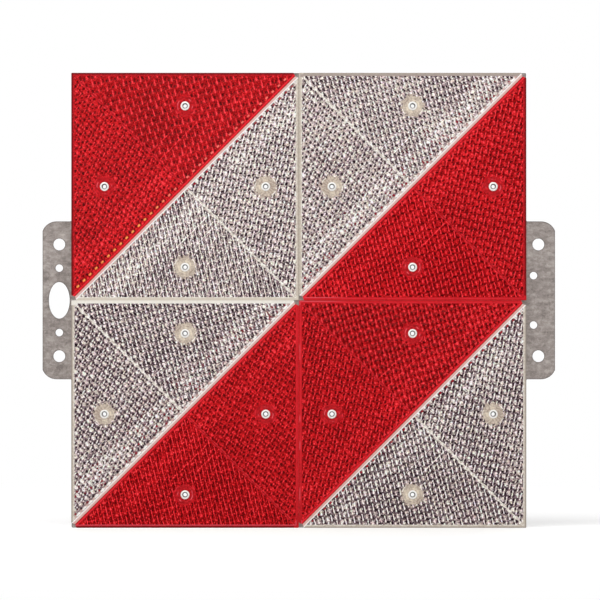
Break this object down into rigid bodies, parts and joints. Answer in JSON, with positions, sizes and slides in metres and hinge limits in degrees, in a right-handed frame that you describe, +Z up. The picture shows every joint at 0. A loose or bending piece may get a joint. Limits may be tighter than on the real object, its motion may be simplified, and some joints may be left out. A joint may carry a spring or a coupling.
{
  "type": "parking warning board",
  "caption": "Square sheet-steel board faced with red and clear triangular prism reflectors in diagonal stripes, with a drilled fastening tab at each side to hold it on a vehicle.",
  "frame": {"origin": "middle of the board, on the back of the carrier plate, which is the plane that the tabs are bolted against", "axes": "+X to the right as seen from the front, +Z up, and the reflectors face -Y"},
  "size_m": [0.477, 0.0152, 0.423],
  "materials": {
    "galvanised_steel": "hot-dip galvanised sheet, dull, mottled grey",
    "red_acrylic": "transparent red acrylic, glossy front, cube-corner prisms on its inner face",
    "clear_acrylic": "clear acrylic, glossy front, cube-corner prisms on its inner face",
    "cover_plastic": "beige moulded plastic, matt",
    "rivet_steel": "zinc-plated, bright"
  },
  "bodies": {
    "root": {"carrier_plate": "galvanised_steel", "red_lens_upper_left": "red_acrylic", "red_back_cover_upper_left": "cover_plastic", "red_rivets_upper_left": "rivet_steel", "clear_lens_upper_left": "clear_acrylic", "clear_back_cover_upper_left": "cover_plastic", "clear_rivets_upper_left": "rivet_steel", "clear_lens_upper_right": "clear_acrylic", "clear_back_cover_upper_right": "cover_plastic", "clear_rivets_upper_right": "rivet_steel", "red_lens_upper_right": "red_acrylic", "red_back_cover_upper_right": "cover_plastic", "red_rivets_upper_right": "rivet_steel", "clear_lens_lower_left": "clear_acrylic", "clear_back_cover_lower_left": "cover_plastic", "clear_rivets_lower_left": "rivet_steel", "red_lens_lower_left": "red_acrylic", "red_back_cover_lower_left": "cover_plastic", "red_rivets_lower_left": "rivet_steel", "red_lens_lower_right": "red_acrylic", "red_back_cover_lower_right": "cover_plastic", "red_rivets_lower_right": "rivet_steel", "clear_lens_lower_right": "clear_acrylic", "clear_back_cover_lower_right": "cover_plastic", "clear_rivets_lower_right": "rivet_steel"}
  },
  "joints": []
}
